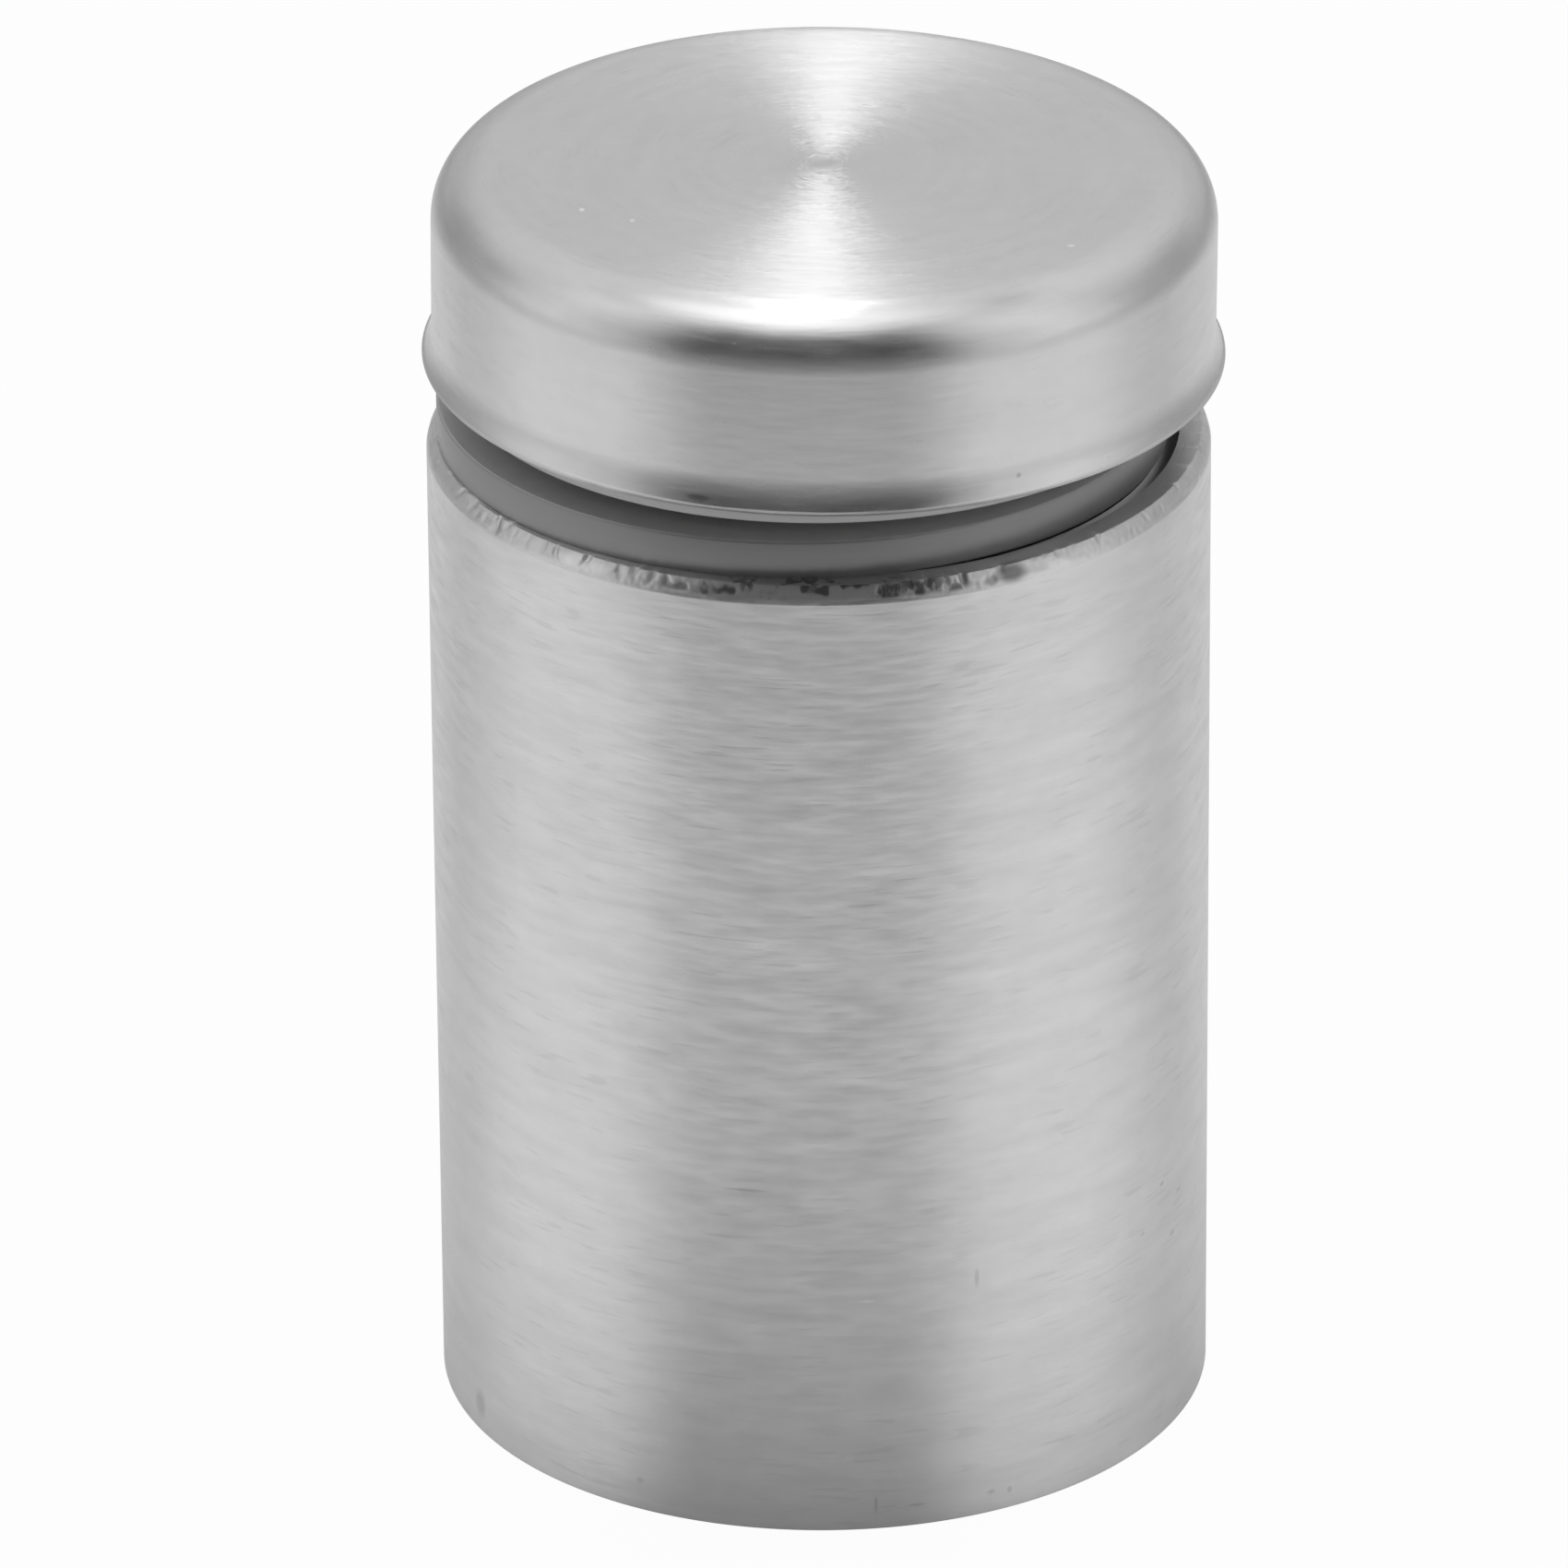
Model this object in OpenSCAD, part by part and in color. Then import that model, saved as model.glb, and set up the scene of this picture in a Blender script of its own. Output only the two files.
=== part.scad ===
// Glass panel standoff: a brushed stainless barrel that fixes to a wall, and a screw-down
// cap that clamps a drilled glass panel between two soft washers.
// Millimetres, +Z along the barrel, origin at the centre of the face that meets the wall.
// Threads are drawn plain, at their nominal diameter.

/* [Barrel] */
// Outer diameter of the barrel
barrel_d = 30; // [24:1:50]
// Length of the barrel, wall face to washer seat
barrel_h = 40; // [36:1:80]
// Wall thickness of the barrel tube
barrel_wall = 1.2; // [0.8:0.1:2]
// Width of the worn bevel round the barrel's top rim, across the end face
rim_bevel_w = 0.35; // [0.1:0.05:0.6]
// Height of that bevel, down the side
rim_bevel_h = 0.55; // [0.2:0.05:1.5]

/* [Inserts] */
// Thickness of the plug that takes the cap's stud
top_insert_h = 10; // [6:0.5:14]
// How far the top plug sits below the rim
top_recess = 0.3; // [0.1:0.1:1]
// Thickness of the plug at the wall end
base_insert_h = 10; // [6:0.5:14]
// How far the base plug sits in from the wall face
base_recess = 0.5; // [0.2:0.1:1.5]
// Chamfer round the plugs' edges and thread mouths
insert_chamfer = 0.6; // [0.2:0.1:1]

/* [Thread] */
// Nominal thread diameter of the stud and of both plugs
thread_d = 8; // [6:1:10]
// Radial clearance between the stud and its threaded holes
thread_clearance = 0.05; // [0.02:0.01:0.1]
// Length of stud that hangs below the cap's core
stud_reach = 25; // [16:1:28]
// Depth of stud that is screwed into the cap's core
stud_grip = 4.5; // [3:0.5:5]
// Chamfer on the stud's free end
stud_chamfer = 1; // [0.3:0.1:1.5]

/* [Washers] */
// Thickness of each washer
washer_t = 1.5; // [1:0.25:3]
// Radius of the washers' moulded edges
washer_edge_r = 0.15; // [0.05:0.05:0.3]
// Radial play between a washer's hole and the stud
washer_play = 1; // [0.6:0.1:1.5]
// Gap between a washer's rim and the straight wall inside the cap
washer_side_gap = 0.15; // [0.1:0.05:0.6]
// Share of its play by which the lower washer has slipped aside
lower_slip = 0.6; // [0:0.05:0.9]
// Share of its side gap by which the upper washer has slipped the other way
upper_slip = 0.8; // [0:0.05:0.9]
// Free gap between the two washers before the cap is tightened
clamp_gap = 0.75; // [0.5:0.05:3]

/* [Cap] */
// How far the cap's straight wall stands in from the barrel's side
cap_step = 0.05; // [0:0.05:0.5]
// Height of the cap, lip to flat top
cap_h = 7.7; // [6.5:0.1:12]
// Thickness of the cap's pressed sheet
cap_sheet = 0.8; // [0.5:0.1:1.2]
// Outside radius of the cap's rounded top edge
cap_corner_r = 2.2; // [1.4:0.1:3]
// How far the lip flares out past the straight wall
lip_flare_w = 0.37; // [0.2:0.01:0.8]
// Height over which it flares
lip_flare_h = 1.35; // [1:0.05:2]
// Depth from the lip up to the face that holds the upper washer
core_recess = 0.6; // [0.3:0.1:1]

/* [Hidden] */
$fn = 96;
// straight steps that stand for each rounded stretch of the cap's section
arc_steps = 12;
// and for each rounded edge of a washer
washer_edge_steps = 4;
// cuts run this far past the faces they open
cut_past = 1;

barrel_r = barrel_d / 2;
bore_r = barrel_r - barrel_wall;
thread_r = thread_d / 2;
stud_r = thread_r - thread_clearance;

// heights of the stack, from the wall up
top_insert_z = barrel_h - top_recess - top_insert_h;
lower_washer_z = barrel_h;
upper_washer_z = lower_washer_z + washer_t + clamp_gap;
core_z = upper_washer_z + washer_t;
lip_z = core_z - core_recess;
cap_top_z = lip_z + cap_h;

// the cap's section
cap_r = barrel_r - cap_step;
cap_bore_r = cap_r - cap_sheet;
corner_z = cap_top_z - cap_corner_r;
flare_z = lip_z + lip_flare_h;
flare_r = (pow(lip_flare_h, 2) + pow(lip_flare_w, 2)) / (2 * lip_flare_w);
ceiling_z = cap_top_z - cap_sheet;
core_h = ceiling_z - core_z;
inner_corner_r = cap_corner_r - cap_sheet;

washer_r = cap_bore_r - washer_side_gap;
washer_hole_r = stud_r + washer_play;

// Points of a circular arc about [x, z], from angle a0 to a1.
function arc(x, z, r, a0, a1, steps = arc_steps) =
    [for (i = [0:steps]) let (a = a0 + (a1 - a0) * i / steps) [x + r * cos(a), z + r * sin(a)]];

// Angle below the horizontal at which an arc of radius r, centred at the flare's start, meets the lip.
function lip_angle(r) = 180 + asin(lip_flare_h / r);

// A turned plug with chamfered edges and a chamfered through hole for the thread.
module threaded_plug(r, h) {
    rotate_extrude()
        polygon([
            [thread_r, insert_chamfer],
            [thread_r + insert_chamfer, 0],
            [r - insert_chamfer, 0],
            [r, insert_chamfer],
            [r, h - insert_chamfer],
            [r - insert_chamfer, h],
            [thread_r + insert_chamfer, h],
            [thread_r, h - insert_chamfer]
        ]);
}

// A flat ring with rounded edges that lies loose round the stud, slipped aside along X.
module washer(slip) {
    outer = washer_r - washer_edge_r;
    inner = washer_hole_r + washer_edge_r;
    low = washer_edge_r;
    high = washer_t - washer_edge_r;
    translate([slip, 0, 0])
        rotate_extrude()
            polygon(concat(
                arc(outer, low, washer_edge_r, -90, 0, washer_edge_steps),
                arc(outer, high, washer_edge_r, 0, 90, washer_edge_steps),
                arc(inner, high, washer_edge_r, 90, 180, washer_edge_steps),
                arc(inner, low, washer_edge_r, 180, 270, washer_edge_steps)
            ));
}

// Cut length of stainless tube, its top rim bevelled.
module barrel_tube() {
    color([0.78, 0.78, 0.77])
        rotate_extrude()
            polygon([
                [bore_r, 0],
                [barrel_r, 0],
                [barrel_r, barrel_h - rim_bevel_h],
                [barrel_r - rim_bevel_w, barrel_h],
                [bore_r, barrel_h]
            ]);
}

// Plug pressed into the tube below the rim; the cap's stud screws into it.
module top_insert() {
    color([0.62, 0.62, 0.61])
        translate([0, 0, top_insert_z])
            threaded_plug(bore_r, top_insert_h);
}

// Plug pressed into the wall end; the wall fixing screws into it.
module base_insert() {
    color([0.62, 0.62, 0.61])
        translate([0, 0, base_recess])
            threaded_plug(bore_r, base_insert_h);
}

// Soft washer that keeps the glass off the barrel.
module lower_washer() {
    color([0.55, 0.55, 0.55])
        translate([0, 0, lower_washer_z])
            washer(-lower_slip * washer_play);
}

// Soft washer that keeps the glass off the cap; it rides on the stud.
module upper_washer() {
    color([0.5, 0.5, 0.5])
        translate([0, 0, upper_washer_z])
            washer(upper_slip * min(washer_side_gap, washer_play));
}

// Pressed sheet cup: flat top, rounded edge, straight skirt and a lip that flares outwards.
module cap_shell() {
    color([0.8, 0.8, 0.79])
        rotate_extrude()
            polygon(concat(
                [[0, ceiling_z], [0, cap_top_z]],
                arc(cap_r - cap_corner_r, corner_z, cap_corner_r, 90, 0),
                arc(cap_r + flare_r, flare_z, flare_r, 180, lip_angle(flare_r)),
                arc(cap_r + flare_r, flare_z, flare_r + cap_sheet, lip_angle(flare_r + cap_sheet), 180),
                arc(cap_r - cap_corner_r, corner_z, inner_corner_r, 0, 90)
            ));
}

// Thick disc pressed into the cup, with a blind threaded hole for the stud.
module cap_core() {
    color([0.6, 0.6, 0.59])
        translate([0, 0, core_z])
            difference() {
                rotate_extrude()
                    polygon(concat(
                        [[0, 0], [cap_bore_r - insert_chamfer, 0], [cap_bore_r, insert_chamfer]],
                        arc(cap_r - cap_corner_r, corner_z - core_z, inner_corner_r, 0, 90),
                        [[0, core_h]]
                    ));
                translate([0, 0, -cut_past])
                    cylinder(r = thread_r, h = stud_grip + cut_past);
            }
}

// Threaded rod that hangs from the core, through both washers and the glass, into the barrel.
module threaded_stud() {
    color([0.68, 0.68, 0.67])
        translate([0, 0, core_z - stud_reach])
            rotate_extrude()
                polygon([
                    [0, 0],
                    [stud_r - stud_chamfer, 0],
                    [stud_r, stud_chamfer],
                    [stud_r, stud_reach + stud_grip],
                    [0, stud_reach + stud_grip]
                ]);
}

barrel_tube();
top_insert();
base_insert();
lower_washer();
upper_washer();
cap_shell();
cap_core();
threaded_stud();
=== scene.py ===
"""Looks of the glass panel standoff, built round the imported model. Metres, +Z along the barrel."""
import math

import bmesh
import bpy
from mathutils import Matrix, Vector, noise


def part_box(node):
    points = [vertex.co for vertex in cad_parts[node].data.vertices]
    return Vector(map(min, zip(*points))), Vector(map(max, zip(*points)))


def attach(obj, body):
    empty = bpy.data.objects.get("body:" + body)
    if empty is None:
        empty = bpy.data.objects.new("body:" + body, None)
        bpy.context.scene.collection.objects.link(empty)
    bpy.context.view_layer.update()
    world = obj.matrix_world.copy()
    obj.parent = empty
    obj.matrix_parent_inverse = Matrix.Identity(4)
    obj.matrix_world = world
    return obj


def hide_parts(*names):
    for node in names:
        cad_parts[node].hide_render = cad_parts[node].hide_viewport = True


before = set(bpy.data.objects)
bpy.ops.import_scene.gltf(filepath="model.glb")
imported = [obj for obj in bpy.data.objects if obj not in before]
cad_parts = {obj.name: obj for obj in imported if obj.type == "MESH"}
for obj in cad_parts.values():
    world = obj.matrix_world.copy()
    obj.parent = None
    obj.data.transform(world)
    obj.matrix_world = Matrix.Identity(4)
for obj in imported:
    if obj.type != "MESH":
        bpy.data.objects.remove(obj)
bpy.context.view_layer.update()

MM = 0.001
MICRON = 0.001 * MM
TURN = 2 * math.pi

# ---------------------------------------------------------------- sizes, from the frame
_, tube_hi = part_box("barrel_tube")
shell_lo, shell_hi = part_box("cap_shell")
_, core_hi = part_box("cap_core")
stud_lo, stud_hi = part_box("threaded_stud")
_, plug_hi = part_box("top_insert")

BARREL_R = tube_hi.x
BARREL_H = tube_hi.z
BORE_R = plug_hi.x
CAP_SHEET = shell_hi.z - core_hi.z
CAP_R = core_hi.x + CAP_SHEET
CAP_TOP = shell_hi.z
LIP_R = shell_hi.x
LIP_Z = shell_lo.z
STUD_R = stud_hi.x

# sizes that the frame's boxes don't show, the same as in the model
CAP_CORNER_R = 2.2 * MM
LIP_FLARE_H = 1.35 * MM
RIM_BEVEL_W = 0.35 * MM
RIM_BEVEL_H = 0.55 * MM
WASHER_PLAY = 1.0 * MM
PLUG_CHAMFER = 0.6 * MM
STUD_CHAMFER = 1.0 * MM
THREAD_GAP = 0.05 * MM

# sizes that only the visible pieces have
RIM_GUARD = 0.02 * MM
RIM_LAND = 0.1 * MM
RIM_ROWS = 16
WALL_EDGE_R = 0.08 * MM
LIP_EDGE_R = 0.06 * MM
LIP_THINNED = 0.13 * MM
WASHER_EDGE_R = 0.1 * MM
THREAD_PITCH = 1.25 * MM
THREAD_DEPTH = 0.65 * MM
THREAD_SEGMENTS = 96
THREAD_ROWS_PER_PITCH = 16
BRUSH_STRAY = 3.0 * MM
SHARP_ANGLE = math.radians(40)

# the cap as it stands on its slack thread: leaning and off the axis, towards +X
CAP_LEAN = math.radians(0.65)
CAP_SHIFT = 0.21 * MM

# ---------------------------------------------------------------- camera
VIEW_DISTANCE = 573.4 * MM
VIEW_ELEVATION = math.radians(26.09)
VIEW_HEIGHT = 1.5 * BARREL_R
VIEW_ROLL = math.radians(-0.454)
VIEW_AIM = Vector((-1.43 * MM, 0, 24.69 * MM))
VIEW_LENS = 339.84


def make_camera():
    """The camera, at the height and distance that give the photograph's perspective."""
    data = bpy.data.cameras.new("camera")
    data.sensor_width = 36
    data.lens = VIEW_LENS
    data.clip_start = 0.01
    data.clip_end = 20
    camera = bpy.data.objects.new("camera", data)
    bpy.context.scene.collection.objects.link(camera)
    out, up = math.cos(VIEW_ELEVATION), math.sin(VIEW_ELEVATION)
    camera.location = (0, -VIEW_DISTANCE * out, VIEW_HEIGHT + VIEW_DISTANCE * up)
    aim = (VIEW_AIM - camera.location).to_track_quat("-Z", "Y")
    camera.rotation_mode = "QUATERNION"
    camera.rotation_quaternion = aim @ Matrix.Rotation(VIEW_ROLL, 3, "Z").to_quaternion()
    bpy.context.scene.camera = camera


# ---------------------------------------------------------------- shader nodes
class Nodes:
    """Adds shader nodes to a tree and links them; most helpers give the new node's output."""

    def __init__(self, tree):
        self.tree = tree
        tree.nodes.clear()

    def add(self, kind, inputs=None, **settings):
        """A new node; an input that is a socket is linked, any other is set."""
        node = self.tree.nodes.new(kind)
        for key, value in settings.items():
            setattr(node, key, value)
        for key, value in (inputs or {}).items():
            if isinstance(value, bpy.types.NodeSocket):
                self.tree.links.new(value, node.inputs[key])
            else:
                node.inputs[key].default_value = value
        return node

    def here(self):
        """The place on the object."""
        return self.add("ShaderNodeTexCoord").outputs["Object"]

    def split(self, vector):
        """The vector's x, y and z."""
        return self.add("ShaderNodeSeparateXYZ", {0: vector}).outputs

    def vector(self, operation, a, b):
        return self.add("ShaderNodeVectorMath", {0: a, 1: b}, operation=operation).outputs[0]

    def length(self, vector):
        return self.add("ShaderNodeVectorMath", {0: vector}, operation="LENGTH").outputs["Value"]

    def off_axis(self):
        """The distance from the object's axis."""
        return self.length(self.vector("MULTIPLY", self.here(), (1, 1, 0)))

    def math(self, operation, a, b=0.0, c=0.0):
        return self.add("ShaderNodeMath", {0: a, 1: b, 2: c}, operation=operation).outputs[0]

    def times(self, value, *factors):
        for factor in factors:
            value = self.math("MULTIPLY", value, factor)
        return value

    def larger(self, a, b):
        return self.math("MAXIMUM", a, b)

    def mix(self, share, a, b):
        return self.add("ShaderNodeMix", {0: share, 2: a, 3: b}, data_type="FLOAT").outputs[0]

    def spread(self, value, low, high):
        """A 0 to 1 value spread evenly from low to high."""
        return self.math("MULTIPLY_ADD", value, high - low, low)

    def fade(self, value, start, end, low=0.0, high=1.0):
        """A smooth change from low to high as value goes from start to end."""
        inputs = {0: value, 1: start, 2: end, 3: low, 4: high}
        return self.add("ShaderNodeMapRange", inputs, interpolation_type="SMOOTHSTEP").outputs[0]

    def window(self, value, low, high, soft):
        """1 where value is between low and high, with soft edges."""
        rise = self.fade(value, low - soft, low + soft)
        fall = self.fade(value, high - soft, high + soft)
        return self.math("SUBTRACT", rise, fall)

    def ramp(self, value, stops, full=1, interpolation="LINEAR"):
        """The result at a value from 0 to full, read between (value, result) stops."""
        node = self.add("ShaderNodeValToRGB", {0: self.math("DIVIDE", value, full)})
        node.color_ramp.interpolation = interpolation
        elements = node.color_ramp.elements
        while len(elements) < len(stops):
            elements.new(0.5)
        for element, (at, result) in zip(elements, stops):
            element.position = at / full
            element.color = (result, result, result, 1)
        return node.outputs["Color"]

    def noise(self, vector, scale, detail=2.0, rough=0.5):
        inputs = {"Vector": vector, "Scale": scale, "Detail": detail, "Roughness": rough}
        return self.add("ShaderNodeTexNoise", inputs).outputs["Fac"]

    def grey(self, tone):
        return self.add("ShaderNodeCombineColor", {0: tone, 1: tone, 2: tone}).outputs[0]

    def bump(self, height, depth):
        inputs = {"Strength": 1.0, "Distance": depth, "Height": height}
        return self.add("ShaderNodeBump", inputs).outputs[0]

    def surface(self, kind, inputs):
        shader = self.add(kind, inputs)
        self.add("ShaderNodeOutputMaterial", {"Surface": shader.outputs[0]})


def new_material(name):
    material = bpy.data.materials.new(name)
    material.use_nodes = True
    return material, Nodes(material.node_tree)


# ---------------------------------------------------------------- materials
def brush_place(n, along, across):
    """Texture place on a turned surface: features per metre along the brushing, and across it."""
    x, y, z = n.split(n.here())
    section = n.math("SUBTRACT", n.off_axis(), z)
    return n.add("ShaderNodeCombineXYZ", {
        0: n.times(x, along), 1: n.times(y, along), 2: n.times(section, across),
    }).outputs[0]


def brushing(n):
    """The way the strokes run: round the axis, each fine stroke's centre a little off it."""
    place = brush_place(n, 3000, 60000)
    stray = n.add("ShaderNodeTexNoise", {"Vector": place, "Scale": 1.0, "Detail": 0.0}).outputs["Color"]
    stray = n.vector("SUBTRACT", stray, (0.48, 0.5, 0.5))
    stray = n.vector("MULTIPLY", stray, (BRUSH_STRAY, BRUSH_STRAY, BRUSH_STRAY))
    arm = n.vector("SUBTRACT", n.here(), stray)
    along = n.vector("CROSS_PRODUCT", (0, 0, 1), arm)
    return n.add("ShaderNodeVectorTransform", {0: along}, vector_type="VECTOR",
                 convert_from="OBJECT", convert_to="WORLD").outputs[0]


def steel_shader(n, tone, rough, anisotropy, height, depth):
    """The shared metal: brushed round the axis, so its gloss spreads across the brushing."""
    n.surface("ShaderNodeBsdfPrincipled", {
        "Base Color": n.grey(tone),
        "Metallic": 1.0,
        "Roughness": rough,
        "Anisotropic": anisotropy,
        "Anisotropic Rotation": 0.25,
        "Normal": n.bump(height, depth),
        "Tangent": brushing(n),
    })


def add_marks(n, tone, marks):
    """Darkens or lightens the metal at small marks: place, half sizes in mm and tone of each."""
    here = n.here()
    for at, size, factor in marks:
        offset = n.vector("SUBTRACT", here, at)
        reach = n.length(n.vector("DIVIDE", offset, [side * MM for side in size]))
        tone = n.times(tone, n.fade(reach, 0.3, 1.0, factor, 1.0))
    return tone


def brushed_steel(name, grey, roughness, uneven, anisotropy, depth, cut, marks, wear_and_shade):
    """Stainless steel brushed round the axis: hairlines, strokes, patches of single cuts and smudges."""
    material, n = new_material(name)
    here = n.here()
    hairline = n.noise(brush_place(n, 250, 12000), 1.0, 2.0, 0.6)
    strokes = n.noise(brush_place(n, 560, 2700), 1.0, 1.0, 0.5)
    drift = n.noise(brush_place(n, 260, 1350), 1.0, 0.0)
    patch = n.fade(n.noise(here, 260, 1.0, 0.5), 0.4, 0.6)
    cuts = n.fade(n.noise(brush_place(n, 620, 5200), 1.0, 0.5, 0.5), 0.6, 0.72)
    cuts = n.times(cuts, patch, cut)
    mottle = n.noise(here, 1300, 2.0, 0.5)
    smudge = n.noise(here, 160, 2.0, 0.5)
    height = n.math("ADD", n.times(hairline, 0.06), n.times(strokes, 0.94))
    height = n.math("SUBTRACT", height, n.times(cuts, 0.15))
    swing = 0.05 * cut
    tone = n.times(
        n.spread(strokes, grey * (1 - swing), grey * (1 + swing)),
        n.spread(drift, 0.99 - swing, 1.01 + swing),
        n.spread(mottle, 0.97, 1.03),
        n.spread(smudge, 0.97, 1.03),
        n.spread(cuts, 1.0, 0.93),
    )
    tone = add_marks(n, tone, marks)
    rough = n.spread(strokes, roughness - uneven, roughness + uneven)
    tone, rough = wear_and_shade(n, tone, rough)
    steel_shader(n, tone, rough, anisotropy, height, depth)
    return material


def rim_grime_and_shade(n, tone, rough):
    """Dark residue of the saw in the chips of the rim and in blotches beside them, with painted shade towards
    the front and on its flat face.
    """
    here = n.here()
    x, y, z = n.split(here)
    near_rim = n.fade(z, BARREL_H - 1.1 * RIM_BEVEL_H, BARREL_H - 0.7 * RIM_BEVEL_H)
    chip = n.add("ShaderNodeAttribute", attribute_name="chip").outputs["Fac"]
    tall = n.vector("MULTIPLY", here, (1, 1, 0.4))
    blotch = n.ramp(n.noise(tall, 1100, 3.0, 0.65), [(0.52, 0.0), (0.64, 1.0)], interpolation="EASE")
    blotch = n.larger(n.fade(chip, 0.02, 0.06), blotch)
    # painted shade: the blotches are kept mostly to the front of the rim, and a further darkening along its
    # front is added to them
    blotch = n.times(blotch, n.fade(y, -14 * MM, -12.6 * MM, 1.0, 0.2))
    front = n.fade(y, -14.5 * MM, -13.4 * MM, 0.8, 0.0)
    dirt_and_shade = n.times(near_rim, n.math("MULTIPLY_ADD", blotch, 0.75, front))
    # painted shade on the rim's flat face, darkest towards its far right; across runs from its far left at 0
    # to its far right at 1
    face = n.fade(z, BARREL_H - 0.04 * MM, BARREL_H - 0.01 * MM)
    across = n.math("MULTIPLY_ADD", x, 0.5 / BARREL_R, 0.5)
    face_shade = n.ramp(across, [
        (0.13, 0.1), (0.3, 0.45), (0.7, 0.45), (0.9, 0.95), (0.94, 0.95), (0.98, 0.25),
    ])
    dirt_and_shade = n.larger(dirt_and_shade, n.times(face, face_shade))
    # the tone darkens with the saw's residue and with the painted shade together
    tone = n.times(tone, n.spread(dirt_and_shade, 1.0, 0.5))
    rough = n.math("MULTIPLY_ADD", n.larger(dirt_and_shade, n.times(near_rim, 0.5)), 0.25, rough)
    return tone, rough


def cap_wear_and_shade(n, tone, rough):
    """The cut edge of the pressed cap's lip, dull and darkened with painted shade, more at the front, and the
    blur at the middle of its brushing.
    """
    here = n.here()
    _, y, z = n.split(here)
    # the dull lip edge, with painted shade: darker at the front than at the back
    worn_and_shaded = n.times(
        n.fade(z, LIP_Z + 0.04 * MM, LIP_Z + 0.16 * MM, 1.0, 0.0),
        n.spread(n.noise(here, 900, 3.0, 0.6), 0.4, 1.2),
        n.fade(y, -14.5 * MM, -11 * MM, 1.8, 0.8),
    )
    middle = n.fade(n.off_axis(), 0.2 * MM, 0.9 * MM, 1.0, 0.0)
    tone = n.times(tone, n.spread(worn_and_shaded, 1.0, 0.82), n.spread(middle, 1.0, 0.9))
    rough = n.math("MULTIPLY_ADD", n.larger(worn_and_shaded, n.times(middle, 0.5)), 0.3, rough)
    return tone, rough


def turned_steel(name, grey, roughness, groove):
    """Plain turned or rolled steel: fine even tool rings, a dull mottle, and darker towards the seam with the
    tube.
    """
    material, n = new_material(name)
    rings = n.noise(brush_place(n, 60, groove), 1.0, 1.0, 0.5)
    mottle = n.noise(n.here(), 700, 3.0, 0.6)
    tone = n.times(
        n.spread(rings, grey * 0.85, grey * 1.15),
        n.spread(mottle, 0.85, 1.1),
        n.fade(n.off_axis(), BORE_R - 0.9 * MM, BORE_R - 0.3 * MM, 1.0, 0.5),
    )
    rough = n.spread(mottle, roughness - 0.08, roughness + 0.08)
    steel_shader(n, tone, rough, 0.6, rings, 12 * MICRON)
    return material


def rubber(name, side, face):
    """Soft washer material, half gloss, with a faint mottle and moulding rings; its side and its flat faces
    get separate tones, as painted light and shade.
    """
    material, n = new_material(name)
    here = n.here()
    normal = n.add("ShaderNodeNewGeometry").outputs["Normal"]
    upright = n.math("ABSOLUTE", n.split(normal)[2])
    mottle = n.noise(here, 700, 3.0, 0.6)
    rings = n.noise(brush_place(n, 120, 5000), 1.0, 2.0, 0.5)
    grain = n.noise(here, 9000, 2.0, 0.5)
    # painted light and shade: the flat faces and the side take separate tones, chosen by the normal
    tone = n.times(
        n.fade(upright, 0.3, 0.9, side, face), n.spread(mottle, 0.9, 1.1), n.spread(rings, 0.94, 1.06),
    )
    n.surface("ShaderNodeBsdfPrincipled", {
        "Base Color": n.grey(tone),
        "Roughness": n.spread(mottle, 0.3, 0.45),
        "IOR": 1.8,
        "Specular IOR Level": 1.0,
        "Sheen Weight": 0.3,
        "Sheen Roughness": 0.5,
        "Normal": n.bump(grain, 2 * MICRON),
    })
    return material


# ---------------------------------------------------------------- mesh helpers
def arc(x, z, radius, start, end, steps):
    """Points of an arc about (x, z), angles in degrees."""
    points = []
    for i in range(steps + 1):
        a = math.radians(start + (end - start) * i / steps)
        points.append((x + radius * math.cos(a), z + radius * math.sin(a)))
    return points


def line(a, b, steps):
    """Points from a to b, with b left out."""
    return [(a[0] + (b[0] - a[0]) * i / steps, a[1] + (b[1] - a[1]) * i / steps) for i in range(steps)]


def turned(name, profile, segments=720, centre_x=0.0, shape=None):
    """A closed solid turned from a loop of (radius, height) points; shape may move a point."""
    mesh = bmesh.new()
    rings = []
    for index, (r, z) in enumerate(profile):
        if r < 1e-9:
            rings.append([mesh.verts.new((centre_x, 0, z))])
            continue
        ring = []
        for k in range(segments):
            a = TURN * k / segments
            rr, zz = shape(index, r, z, a) if shape else (r, z)
            ring.append(mesh.verts.new((centre_x + rr * math.cos(a), rr * math.sin(a), zz)))
        rings.append(ring)
    for i, ring in enumerate(rings):
        following = rings[(i + 1) % len(rings)]
        if len(ring) == 1 and len(following) == 1:
            continue
        for k in range(segments):
            m = (k + 1) % segments
            if len(ring) == 1:
                mesh.faces.new((ring[0], following[m], following[k]))
            elif len(following) == 1:
                mesh.faces.new((ring[k], ring[m], following[0]))
            else:
                mesh.faces.new((ring[k], ring[m], following[m], following[k]))
    return finished(name, mesh)


def finished(name, mesh):
    """The mesh as an object in the scene, smooth but for its sharp edges."""
    bmesh.ops.recalc_face_normals(mesh, faces=mesh.faces)
    data = bpy.data.meshes.new(name)
    mesh.to_mesh(data)
    mesh.free()
    data.polygons.foreach_set("use_smooth", [True] * len(data.polygons))
    data.set_sharp_from_angle(angle=SHARP_ANGLE)
    piece = bpy.data.objects.new(name, data)
    bpy.context.scene.collection.objects.link(piece)
    return piece


def place(piece, material, body, slot, node):
    """Gives a piece its material and its CAD body, and hides the node that it stands for; slot is not used.
    """
    piece.data.materials.append(material)
    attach(piece, body)
    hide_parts(node)


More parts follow.
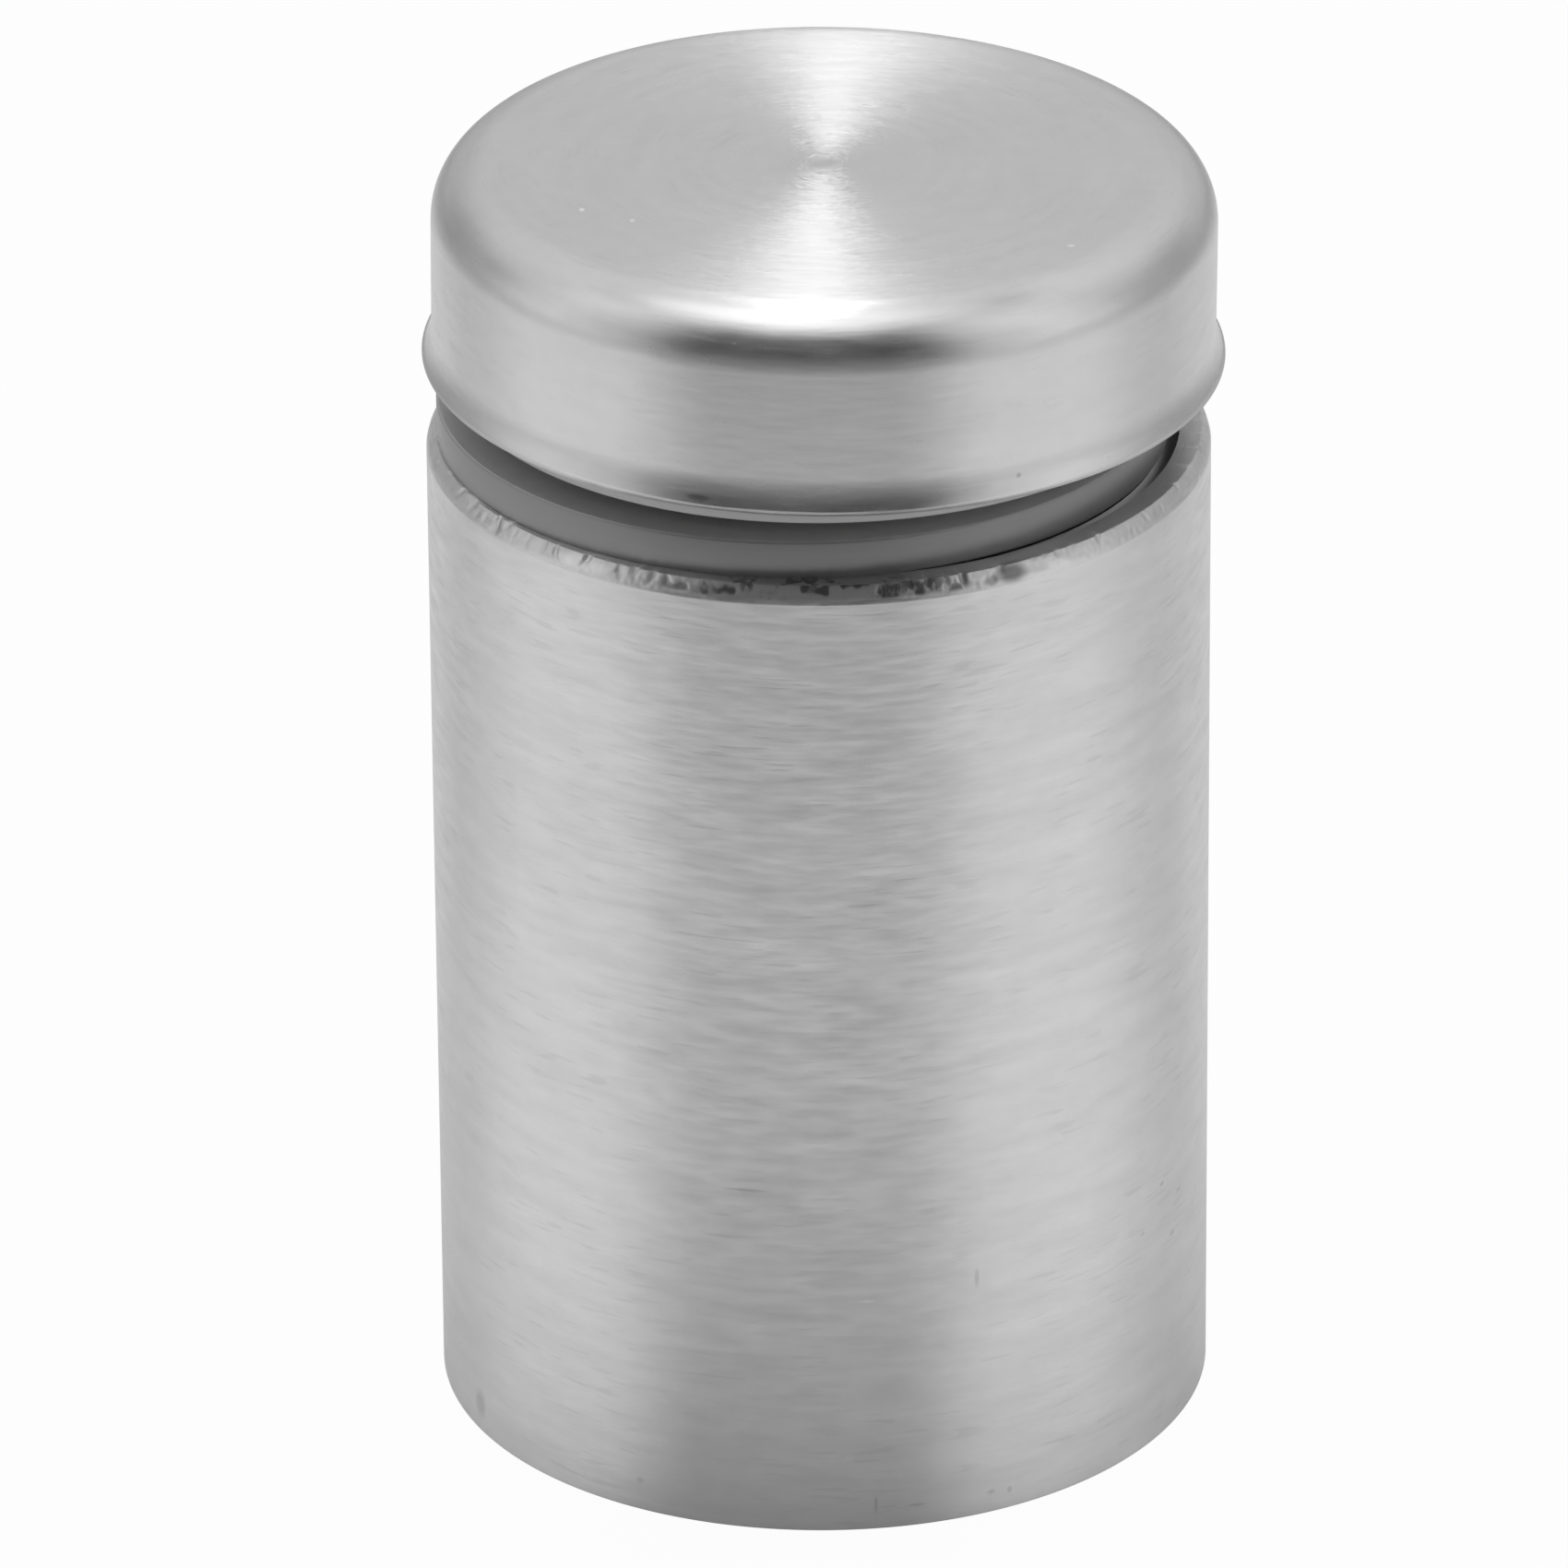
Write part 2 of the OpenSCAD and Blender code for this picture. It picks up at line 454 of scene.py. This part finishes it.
# ---------------------------------------------------------------- pieces
def nibble(a, t):
    """How deep the saw bit at angle a, from the bevel's foot (t = 0) to its top edge (t = 1), in mm."""
    around = Vector((math.cos(a), math.sin(a), 0)) * (BARREL_R / MM)
    wave = noise.noise(around * 0.7)
    patch = noise.noise(around * 0.4 + Vector((0, 0, 20)))
    bites = noise.noise(around * 2.3 + Vector((0, 0, 1.2 * t + 7)))
    pits = noise.noise(around * 5 + Vector((0, 0, 3 * t + 3)))
    foot = min(1, t * 5)
    edge = min(1, max(0, (t - 0.3 + 0.5 * patch) * 2.5))
    return foot * (0.015 + 0.015 * wave + 0.012 * pits + 0.15 * edge * max(0, bites - 0.06))


def make_barrel(material):
    """The tube, the bevel round its rim nibbled by the saw."""
    foot = (BARREL_R, BARREL_H - 1.2 * RIM_BEVEL_H)
    top = (BARREL_R - RIM_BEVEL_W, BARREL_H)
    guard = (foot[0], foot[1] - RIM_GUARD)
    profile = [(BORE_R, 0)]
    profile += arc(BARREL_R - WALL_EDGE_R, WALL_EDGE_R, WALL_EDGE_R, -90, 0, 4)
    profile += line((BARREL_R, 2 * WALL_EDGE_R), guard, 8) + [guard]
    first = len(profile)
    last = first + RIM_ROWS
    for i in range(RIM_ROWS + 1):
        t = i / RIM_ROWS
        out = foot[0] + (top[0] - foot[0]) * (0.25 * t + 0.75 * t * t)
        profile.append((out, foot[1] + (top[1] - foot[1]) * t))
    profile += [(top[0] - RIM_LAND, BARREL_H), (BORE_R, BARREL_H)]
    chips = []

    def chipped(index, r, z, a):
        depth = nibble(a, (index - first) / RIM_ROWS) if first < index <= last else 0
        chips.append(depth)
        return r - depth * MM, z - 0.3 * max(0, depth) * MM

    piece = turned("barrel", profile, 1440, shape=chipped)
    piece.data.attributes.new("chip", "FLOAT", "POINT").data.foreach_set("value", chips)
    place(piece, material, "barrel", "barrel_steel", "barrel_tube")


def make_cap(material):
    """The pressed cap: flat top, rounded edge, straight skirt and flared lip, leaning on its thread."""
    corner_x, corner_z = CAP_R - CAP_CORNER_R, CAP_TOP - CAP_CORNER_R
    flare_w = LIP_R - CAP_R
    flare_r = (LIP_FLARE_H ** 2 + flare_w ** 2) / (2 * flare_w)
    flare_x, flare_z = CAP_R + flare_r, LIP_Z + LIP_FLARE_H
    # inside the lip the sheet is thinner, so that the leaning lip clears the washer as it turns
    inner_r = flare_r + CAP_SHEET - LIP_THINNED
    out_angle = 180 + math.degrees(math.asin((LIP_FLARE_H - 2 * LIP_EDGE_R) / flare_r))
    in_angle = 180 + math.degrees(math.asin(LIP_FLARE_H / inner_r))
    inmost_ring = 2 * MM
    profile = [(0, CAP_TOP)]
    profile += line((inmost_ring, CAP_TOP), (corner_x, CAP_TOP), 8)
    profile += arc(corner_x, corner_z, CAP_CORNER_R, 90, 0, 24)
    profile += arc(flare_x, flare_z, flare_r, 180, out_angle, 16)
    profile += arc(LIP_R - LIP_EDGE_R, LIP_Z + LIP_EDGE_R, LIP_EDGE_R, 20, -90, 8)
    profile += arc(flare_x, flare_z, inner_r, in_angle, 180, 12)
    profile += arc(corner_x, corner_z, CAP_CORNER_R - CAP_SHEET, 0, 90, 12)
    profile += [(0, CAP_TOP - CAP_SHEET)]
    piece = turned("cap", profile)
    pivot = Matrix.Translation((0, 0, LIP_Z))
    shift = Matrix.Translation((CAP_SHIFT, 0, 0))
    piece.matrix_world = shift @ pivot @ Matrix.Rotation(CAP_LEAN, 4, "Y") @ pivot.inverted()
    place(piece, material, "cap", "cap_steel", "cap_shell")


def make_washer(name, node, body, material):
    """A flat ring with rounded edges, where its node lies."""
    low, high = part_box(node)
    edge = WASHER_EDGE_R
    outer = (high.y - low.y) / 2 - edge
    inner = STUD_R + WASHER_PLAY + edge
    profile = arc(outer, low.z + edge, edge, -90, 0, 5)
    profile += arc(outer, high.z - edge, edge, 0, 90, 5)
    profile += arc(inner, high.z - edge, edge, 90, 180, 5)
    profile += arc(inner, low.z + edge, edge, 180, 270, 5)
    piece = turned(name, profile, 360, centre_x=(low.x + high.x) / 2)
    place(piece, material, body, "washer_rubber", node)


def thread_depth(z, a):
    """How far the thread's groove cuts in at height z and angle a: flat crest, sloped flanks, flat root."""
    phase = (z / THREAD_PITCH - a / TURN) % 1
    from_crest = min(phase, 1 - phase) * 2
    crest, root = 0.14, 0.78
    return THREAD_DEPTH * min(1, max(0, (from_crest - crest) / (root - crest)))


def thread_rows(low, high, radius):
    """Points up a threaded wall, close enough to carry the thread's form."""
    steps = round((high - low) / THREAD_PITCH * THREAD_ROWS_PER_PITCH)
    return line((radius, low), (radius, high), steps) + [(radius, high)]


def make_stud(material):
    """The stud, with a rolled right-hand thread over its whole length."""
    low, high = stud_lo.z, stud_hi.z
    profile = [(0, low), (STUD_R - STUD_CHAMFER, low)] + thread_rows(low, high, STUD_R) + [(0, high)]

    def threaded(index, r, z, a):
        if r < STUD_R:
            return r, z
        chamfer = STUD_R - STUD_CHAMFER + (z - low)
        return min(r - thread_depth(z, a), chamfer), z

    piece = turned("stud", profile, THREAD_SEGMENTS, shape=threaded)
    place(piece, material, "cap", "stud_steel", "threaded_stud")


def make_plug(name, node, material):
    """A turned plug with chamfered edges and the stud's thread cut through it."""
    low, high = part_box(node)
    outer = high.x
    hole = STUD_R + THREAD_GAP
    mouth = hole + PLUG_CHAMFER
    profile = [(mouth, low.z), (outer - PLUG_CHAMFER, low.z), (outer, low.z + PLUG_CHAMFER)]
    profile += [(outer, high.z - PLUG_CHAMFER), (outer - PLUG_CHAMFER, high.z), (mouth, high.z)]
    first = len(profile)
    profile += thread_rows(low.z, high.z, hole)[-2:0:-1]

    def threaded(index, r, z, a):
        if index < first:
            return r, z
        cone = mouth - min(z - low.z, high.z - z)
        return max(hole + THREAD_GAP - thread_depth(z, a), cone), z

    piece = turned(name, profile, THREAD_SEGMENTS, shape=threaded)
    place(piece, material, "barrel", "turned_steel", node)


# ---------------------------------------------------------------- studio
FLOOR_SIZE = 6
FLOOR_DROP = 0.02 * MM
FLOOR_REACH = 0.3  # the distance that counts as 1 in the sheet's ramps
FLOOR_WHITE = 0.96  # how much of the sheet the camera sees as plain white
DARK_END = 6  # degrees left of the front
SOFTBOX_LIGHT = 1.5
STRIP_LIGHT = 3.8


def degrees(n, angle):
    """A node's angle in degrees instead of radians."""
    return n.times(angle, 360 / TURN)


def degrees_off_front(n, x, y):
    """Degrees round from the studio's dark end, where the camera stands."""
    bearing = degrees(n, n.math("ARCTAN2", x, n.times(y, -1)))
    return n.math("ABSOLUTE", n.math("ADD", bearing, DARK_END))


def make_stage():
    """A pale matt sheet with painted shadow close to the part and painted falloff far off, dimmer towards the
    dark end; the camera sees it white but for a faint shadow.
    """
    bpy.ops.mesh.primitive_plane_add(size=FLOOR_SIZE, location=(0, 0, -FLOOR_DROP))
    floor = bpy.context.object
    floor.name = "floor"
    material, n = new_material("floor")
    here = n.here()
    x, y, _ = n.split(here)
    off_front = degrees_off_front(n, x, y)
    reach = n.math("DIVIDE", n.length(here), FLOOR_REACH)
    # the part's side shows the near floor at a smaller angle than the far floor
    turn = n.times(off_front, n.fade(reach, 0.045, 0.13, 1.38, 1.0))
    sideways = n.fade(turn, 23, 54)
    behind = n.fade(off_front, 80, 130)

    # painted shade: the sheet darker close to the part as a contact shadow, and darker far off and behind as
    # a falloff of light
    front_pale = n.ramp(reach, [
        (0.06, 0.6), (0.09, 0.68), (0.14, 0.88), (0.18, 1.0), (0.3, 1.0),
        (0.34, 0.76), (0.44, 0.62), (0.55, 0.4), (0.82, 0.2),
    ])
    rest_pale = n.times(n.ramp(reach, [(0.4, 0.84), (1, 0.55)]), n.spread(behind, 1.0, 0.88))
    pale = n.mix(sideways, front_pale, rest_pale)
    matt = n.add("ShaderNodeBsdfDiffuse", {"Color": n.grey(pale)})

    # how white the sheet shows in the metal, in front and elsewhere
    # painted shadow round the part's base and painted falloff far off, as the metal sees the sheet; lit
    # paints some bearings brighter than others
    glow = n.ramp(reach, [(0.06, 0.06), (0.12, 0.1), (0.16, 0.22), (0.24, 0.6), (0.3, 0.66), (0.35, 0.06)])
    shine = n.ramp(reach, [
        (0.05, 0.25), (0.08, 0.58), (0.12, 0.84), (0.17, 0.95), (0.42, 1.0), (0.56, 0.68), (0.78, 0.0),
    ])
    lit = n.ramp(turn, [(56, 1.0), (84, 1.0), (104, 0.52), (118, 0.36), (132, 0.55), (165, 0.55)], 180)
    shine = n.mix(sideways, glow, n.times(shine, lit))
    path = n.add("ShaderNodeLightPath").outputs
    shine = n.times(shine, path["Is Glossy Ray"])
    seen = n.math("MULTIPLY_ADD", path["Is Camera Ray"], FLOOR_WHITE, shine)
    white = n.add("ShaderNodeEmission", {"Color": (1, 1, 1, 1), "Strength": 1.0})
    n.surface("ShaderNodeMixShader", {0: seen, 1: matt.outputs[0], 2: white.outputs[0]})
    floor.data.materials.append(material)


def make_world():
    """The studio: pale walls, a dark end behind the camera, a softbox overhead and a strip behind it."""
    world = bpy.data.worlds.new("studio")
    bpy.context.scene.world = world
    world.use_nodes = True
    n = Nodes(world.node_tree)
    x, y, z = n.split(n.add("ShaderNodeTexCoord").outputs["Generated"])
    height = degrees(n, n.math("ARCSINE", z))
    off_front = degrees_off_front(n, x, y)

    # walls: by bearing, then by height beside and behind the part, then left against right
    bearing = n.math("SUBTRACT", off_front, n.fade(height, 0, 12, 3.5, 0.0))
    walls = n.ramp(bearing, [
        (0, 0.03), (34, 0.05), (53, 0.85), (76, 1.25), (108, 0.85), (125, 0.68), (180, 0.68),
    ], 180)
    beside = n.ramp(height, [(0, 1.05), (5, 1.0), (11, 0.68), (26, 0.75), (46, 0.88)], 90)
    behind = n.ramp(height, [(0, 0.9), (12, 0.85), (24, 1.07), (50, 1.33)], 90)
    by_height = n.mix(n.fade(off_front, 100, 130), beside, behind)
    low_side, high_side = n.fade(x, -0.4, 0.4, 0.94, 1.06), n.fade(x, -0.4, 0.4, 0.97, 1.01)
    by_side = n.mix(n.fade(height, 18, 36), low_side, high_side)
    walls = n.larger(n.times(walls, by_height, by_side), n.fade(height, 4, 16, 0.25, 0.0))
    corner = n.times(n.window(off_front, 100, 140, 12), n.fade(height, 18, 32, 0.3, 0.0))
    walls = n.times(walls, n.math("SUBTRACT", 1.0, corner))

    # ceiling: brighter at the left
    sky = n.math("MULTIPLY_ADD", y, 5, height)
    ceiling = n.ramp(sky, [(56, 0.0), (68, 1.25), (80, 1.85)], 90)
    ceiling = n.times(ceiling, n.fade(x, -0.3, 0.3, 1.2333, 0.7833))
    room = n.mix(n.fade(sky, 56, 66), walls, ceiling)

    # lamps: degrees to the right of the middle plane, and degrees up from the back and over
    aside = degrees(n, n.math("ARCSINE", x))
    over = degrees(n, n.math("ARCTAN2", z, y))
    softbox = n.times(n.window(aside, -13.5, 11, 8), n.window(over, 62, 116, 4), SOFTBOX_LIGHT)
    strip = n.times(n.window(aside, -2.1, 2.3, 0.8), n.window(over, 34, 66, 3), STRIP_LIGHT)
    light = n.larger(room, n.larger(softbox, strip))

    path = n.add("ShaderNodeLightPath").outputs
    seen = n.larger(path["Is Camera Ray"], path["Is Transmission Ray"])
    back = n.add("ShaderNodeBackground", {"Color": (1, 1, 1, 1), "Strength": n.mix(seen, light, 1.0)})
    n.add("ShaderNodeOutputWorld", {"Surface": back.outputs[0]})


# ---------------------------------------------------------------- marks on the metal
def on_side(radius, bearing, height):
    """A point on an upright side: degrees round from the front, and mm above the wall face."""
    a = math.radians(bearing)
    return (radius * math.sin(a), -radius * math.cos(a), height * MM)


def on_barrel(bearing, height):
    return on_side(BARREL_R, bearing, height)


def on_cap(bearing, height, out=0.0):
    """A point on the cap's side, out mm beyond its skirt."""
    return on_side(CAP_R + out * MM, bearing, height)


def on_top(x, y):
    return (x * MM, y * MM, CAP_TOP)


# place, half sizes in mm, tone
BARREL_MARKS = [
    # nicks and dark dashes near the wall end
    (on_barrel(7.4, 1.1), (0.1, 1, 0.5), 0.8),
    (on_barrel(13.5, 0.9), (0.5, 1, 0.09), 0.82),
    (on_barrel(25.2, 0.9), (0.2, 1, 0.14), 0.8),
    (on_barrel(28.2, 0.8), (0.12, 1, 0.2), 0.8),
    (on_barrel(-28.5, 1.3), (0.2, 1, 0.18), 0.85),
    (on_barrel(-63.5, 1.2), (0.3, 1, 0.8), 0.8),
    # dark strokes, a scratch, dots and a bright stroke higher up
    (on_barrel(-11.3, 14.65), (1.1, 1, 0.09), 0.8),
    (on_barrel(22.9, 10.35), (0.13, 1, 0.55), 0.82),
    (on_barrel(60.6, 11), (0.16, 0.3, 0.13), 0.78),
    (on_barrel(66.3, 10.05), (0.16, 0.4, 0.12), 0.84),
    (on_barrel(55.1, 9.45), (0.12, 0.3, 0.12), 0.84),
    (on_barrel(64, 8.45), (0.16, 0.4, 0.15), 0.8),
    (on_barrel(6.2, 9.93), (0.4, 1, 0.06), 1.15),
    (on_barrel(-17.1, 29.85), (0.95, 1, 0.1), 0.86),
    # darker spots, and painted highlights on the rim's bevel
    (on_barrel(25.5, 39.6), (0.35, 1, 0.25), 0.6),
    (on_barrel(29, 39.75), (0.9, 1, 0.5), 0.35),
    (on_barrel(18.2, 39.8), (0.7, 1, 0.35), 1.5),
    (on_barrel(37, 39.6), (0.8, 1, 0.2), 1.15),
    (on_barrel(-37, 39.7), (2.0, 1.6, 0.3), 1.22),
]
CAP_MARKS = [
    # specks on the top, a dot on the side, stains on the lip
    (on_top(-9.15, -4.5), (0.14, 0.22, 0.5), 1.4),
    (on_top(-7.25, -5.5), (0.14, 0.22, 0.5), 1.25),
    (on_top(9.2, -7.7), (0.2, 0.2, 0.5), 1.25),
    (on_top(11.9, -9.5), (0.2, 0.2, 0.5), 1.25),
    (on_cap(28.9, 43.9), (0.14, 0.3, 0.14), 0.72),
    (on_cap(-18.2, 43.5, 0.1), (0.62, 0.8, 0.16), 0.6),
    (on_cap(8.1, 43.65, 0.1), (1.5, 1, 0.3), 0.9),
]

# ---------------------------------------------------------------- the scene
make_camera()
bpy.context.scene.view_settings.view_transform = "Standard"
make_stage()
make_world()

barrel_steel = brushed_steel(
    "barrel_steel", grey=0.655, roughness=0.34, uneven=0.12, anisotropy=0.8, depth=20 * MICRON,
    cut=1.0, marks=BARREL_MARKS, wear_and_shade=rim_grime_and_shade,
)
cap_steel = brushed_steel(
    "cap_steel", grey=0.655, roughness=0.255, uneven=0.05, anisotropy=0.95, depth=6 * MICRON,
    cut=0.4, marks=CAP_MARKS, wear_and_shade=cap_wear_and_shade,
)
plug_steel = turned_steel("turned_steel", grey=0.52, roughness=0.36, groove=9000)
rod_steel = turned_steel("stud_steel", grey=0.56, roughness=0.32, groove=6000)
# painted light and shade: each washer's side and flat faces get their own tone, and the upper washer is a
# lighter copy set against the lip's shade
low_rubber = rubber("washer_rubber", side=0.125, face=0.48)
high_rubber_painted_lighter = rubber("washer_rubber_high_painted_lighter", side=0.42, face=0.48)

make_barrel(barrel_steel)
make_cap(cap_steel)
make_washer("washer_low", "lower_washer", "barrel", low_rubber)
make_washer("washer_high", "upper_washer", "upper_washer", high_rubber_painted_lighter)
make_stud(rod_steel)
make_plug("plug_top", "top_insert", plug_steel)
make_plug("plug_base", "base_insert", plug_steel)
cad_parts["cap_core"].data.materials.clear()
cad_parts["cap_core"].data.materials.append(plug_steel)
